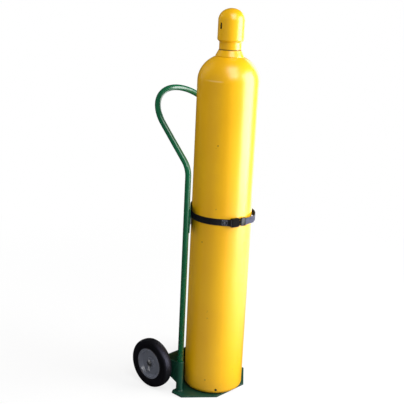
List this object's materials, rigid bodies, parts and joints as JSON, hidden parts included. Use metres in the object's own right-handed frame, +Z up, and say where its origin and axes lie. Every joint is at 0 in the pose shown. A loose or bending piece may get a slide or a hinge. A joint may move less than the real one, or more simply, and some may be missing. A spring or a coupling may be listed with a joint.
{
  "type": "gas cylinder trolley",
  "caption": "Hand trolley with a looped tube handle, shoe plate, rear wheels and a buckled webbing strap, carrying a tall capped steel gas cylinder.",
  "frame": {"origin": "on the floor, on the underside of the shoe plate, under the axis of the gas cylinder", "axes": "+X to the right seen from the front, +Y to the rear, where the wheels and the handle are, +Z up"},
  "size_m": [0.4522, 0.4337, 1.514],
  "materials": {
    "frame_paint": "gloss",
    "bare_steel": "satin",
    "webbing": "woven",
    "buckle_plastic": "matte",
    "tyre": "satin",
    "wheel_paint": "satin",
    "cylinder_paint": "gloss",
    "valve_brass": "satin",
    "handwheel_iron": "painted"
  },
  "bodies": {
    "trolley_frame": {"left_upright": "frame_paint", "right_upright": "frame_paint", "handle_loop": "frame_paint", "left_socket": "frame_paint", "right_socket": "frame_paint", "shoe_plate": "frame_paint", "left_axle_bracket": "frame_paint", "right_axle_bracket": "frame_paint", "cross_plate": "frame_paint", "saddle_band": "frame_paint", "socket_welds": "frame_paint", "bracket_welds": "frame_paint", "saddle_welds": "frame_paint", "axle": "bare_steel", "axle_spacers": "bare_steel", "axle_washers": "bare_steel", "cotter_pins": "bare_steel", "strap": "webbing", "buckle_socket": "buckle_plastic", "buckle_clip": "buckle_plastic"},
    "left_wheel": {"left_tyre": "tyre", "left_rim_band": "wheel_paint", "left_outer_disc": "wheel_paint", "left_inner_disc": "wheel_paint", "left_hub_tube": "wheel_paint", "left_bushes": "bare_steel"},
    "right_wheel": {"right_tyre": "tyre", "right_rim_band": "wheel_paint", "right_outer_disc": "wheel_paint", "right_inner_disc": "wheel_paint", "right_hub_tube": "wheel_paint", "right_bushes": "bare_steel"},
    "gas_cylinder": {"cylinder_shell": "cylinder_paint", "neck_ring": "cylinder_paint", "valve_body": "valve_brass", "safety_plug": "valve_brass", "outlet_cap": "valve_brass", "packing_nut": "valve_brass"},
    "handwheel": {"valve_stem": "bare_steel", "valve_handwheel": "handwheel_iron", "handwheel_nut": "bare_steel"},
    "cap": {"valve_cap": "cylinder_paint"},
    "upper_arm": {"upper_clip_arm": "buckle_plastic"},
    "lower_arm": {"lower_clip_arm": "buckle_plastic"}
  },
  "joints": [
    {"name": "left_wheel_spin", "type": "hinge", "parent": "trolley_frame", "child": "left_wheel", "pos_m": [-0.20405, 0.152, 0.1], "axis": [1, 0, 0], "continuous": true},
    {"name": "right_wheel_spin", "type": "hinge", "parent": "trolley_frame", "child": "right_wheel", "pos_m": [0.20405, 0.152, 0.1], "axis": [1, 0, 0], "continuous": true},
    {"name": "cylinder_lift", "type": "slide", "parent": "trolley_frame", "child": "gas_cylinder", "axis": [0, 0, 1], "range_m": [0, 0.8]},
    {"name": "cap_lift", "type": "slide", "parent": "gas_cylinder", "child": "cap", "axis": [0, 0, 1], "range_m": [0, 0.15]},
    {"name": "handwheel_turn", "type": "hinge", "parent": "gas_cylinder", "child": "handwheel", "pos_m": [0, 0, 1.45], "axis": [0, 0, 1], "range_deg": [0, 720]},
    {"name": "upper_arm_press", "type": "hinge", "parent": "trolley_frame", "child": "upper_arm", "pos_m": [-0.02429, -0.12109, 0.738], "axis": [-0.284, -0.9588, 0], "range_deg": [0, 7], "stiffness_Nm_per_rad": 0.2},
    {"name": "lower_arm_press", "type": "hinge", "parent": "trolley_frame", "child": "lower_arm", "pos_m": [-0.02429, -0.12109, 0.716], "axis": [-0.284, -0.9588, 0], "range_deg": [-7, 0], "stiffness_Nm_per_rad": 0.2}
  ],
  "couplings": [
    {"joint": "lower_arm_press", "follows": "upper_arm_press", "ratio": -1}
  ]
}
